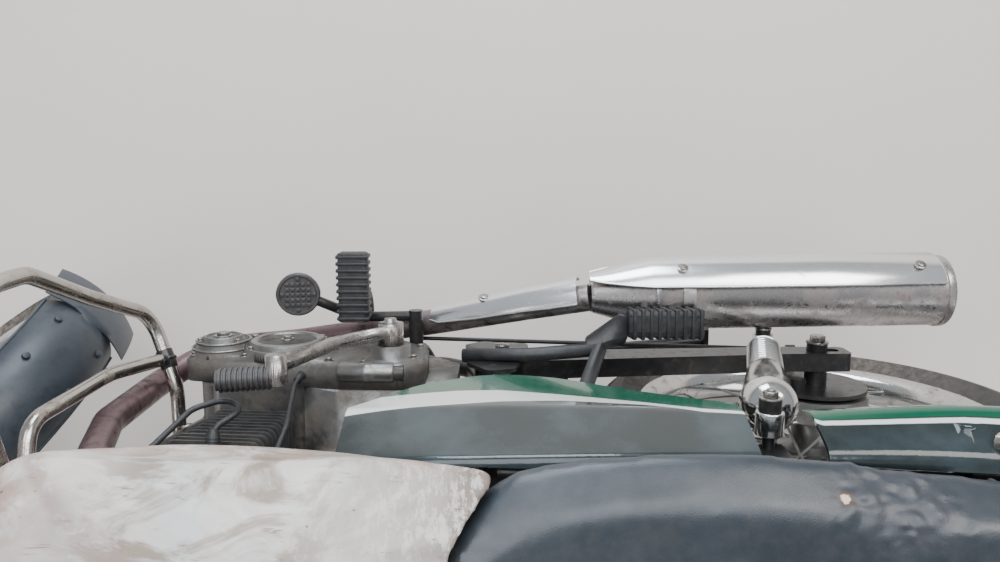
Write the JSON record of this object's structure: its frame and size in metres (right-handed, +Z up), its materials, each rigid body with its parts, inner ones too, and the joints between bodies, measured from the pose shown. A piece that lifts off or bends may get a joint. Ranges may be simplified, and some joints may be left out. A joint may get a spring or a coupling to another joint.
{
  "type": "commuter motorcycle",
  "caption": "Small single-cylinder commuter motorcycle parked on its side stand, with spoked wheels, leg guard, long seat and right-side silencer.",
  "frame": {"origin": "on the ground under the centre of the parked machine's bounding box", "axes": "+X forward along the machine, +Y to the rider's left, +Z up; the machine leans 12 degrees to +Y on its side stand, steering on its left stop"},
  "size_m": [1.8662, 0.6715, 1.2809],
  "materials": {
    "black_steel": "satin",
    "casting": "matte",
    "exhaust_steel": "satin",
    "chrome": "gloss",
    "tank_primer": "matte",
    "dark_paint": "gloss",
    "guard_plastic": "satin",
    "seat_vinyl": "satin",
    "peg_rubber": "matte",
    "tyre_rubber": "matte",
    "lamp_red": "gloss",
    "lamp_amber": "gloss",
    "lamp_clear": "gloss"
  },
  "bodies": {
    "chassis": {"main_frame": "black_steel", "swing_arm": "black_steel", "engine_case": "casting", "clutch_cover": "casting", "magneto_cover": "casting", "cylinder": "casting", "intake": "casting", "cables": "peg_rubber", "exhaust_pipe": "exhaust_steel", "silencer": "exhaust_steel", "heat_shields": "chrome", "fuel_tank": "tank_primer", "filler_cap": "chrome", "seat": "seat_vinyl", "side_covers": "dark_paint", "tail_cowl": "dark_paint", "rear_mudguard": "guard_plastic", "tail_lamp": "lamp_red", "rear_indicators": "lamp_amber", "grab_rail": "chrome", "shocks": "chrome", "footrests": "peg_rubber", "passenger_pegs": "peg_rubber", "kick_lever": "exhaust_steel", "brake_pedal": "black_steel", "gear_lever": "exhaust_steel", "leg_guard": "chrome", "chain_case": "black_steel", "rear_brake": "black_steel"},
    "rear_wheel": {"rear_tyre": "tyre_rubber", "rear_rim": "chrome", "rear_hub": "casting"},
    "steering": {"fork_legs": "casting", "yokes": "casting", "handlebar": "exhaust_steel", "hand_controls": "peg_rubber", "headlamp_cowl": "guard_plastic", "headlamp": "lamp_clear", "instruments": "guard_plastic", "front_indicators": "lamp_amber", "front_mudguard": "guard_plastic", "front_brake": "casting"},
    "front_wheel": {"front_tyre": "tyre_rubber", "front_rim": "chrome", "front_hub": "casting"},
    "side_stand": {"side_stand": "black_steel"},
    "centre_stand": {"centre_stand": "black_steel"}
  },
  "joints": [
    {"name": "rear_wheel_spin", "type": "hinge", "parent": "chassis", "child": "rear_wheel", "pos_m": [-0.57635, -0.09559, 0.29923], "axis": [0, 0.9781, -0.2079], "continuous": true},
    {"name": "steering_turn", "type": "hinge", "parent": "chassis", "child": "steering", "pos_m": [0.40414, -0.00619, 0.71983], "axis": [-0.454, 0.1853, 0.8715], "range_deg": [-80, 0]},
    {"name": "front_wheel_spin", "type": "hinge", "parent": "steering", "child": "front_wheel", "pos_m": [0.68155, -0.06496, 0.27156], "axis": [-0.5727, 0.6886, -0.4447], "continuous": true},
    {"name": "side_stand_fold", "type": "hinge", "parent": "chassis", "child": "side_stand", "pos_m": [-0.07835, 0.00465, 0.20329], "axis": [0.1564, 0.8461, 0.5096], "range_deg": [0, 96]},
    {"name": "centre_stand_drop", "type": "hinge", "parent": "chassis", "child": "centre_stand", "pos_m": [-0.16636, -0.10848, 0.23859], "axis": [0, 0.9781, -0.2079], "range_deg": [-82, 0]}
  ]
}
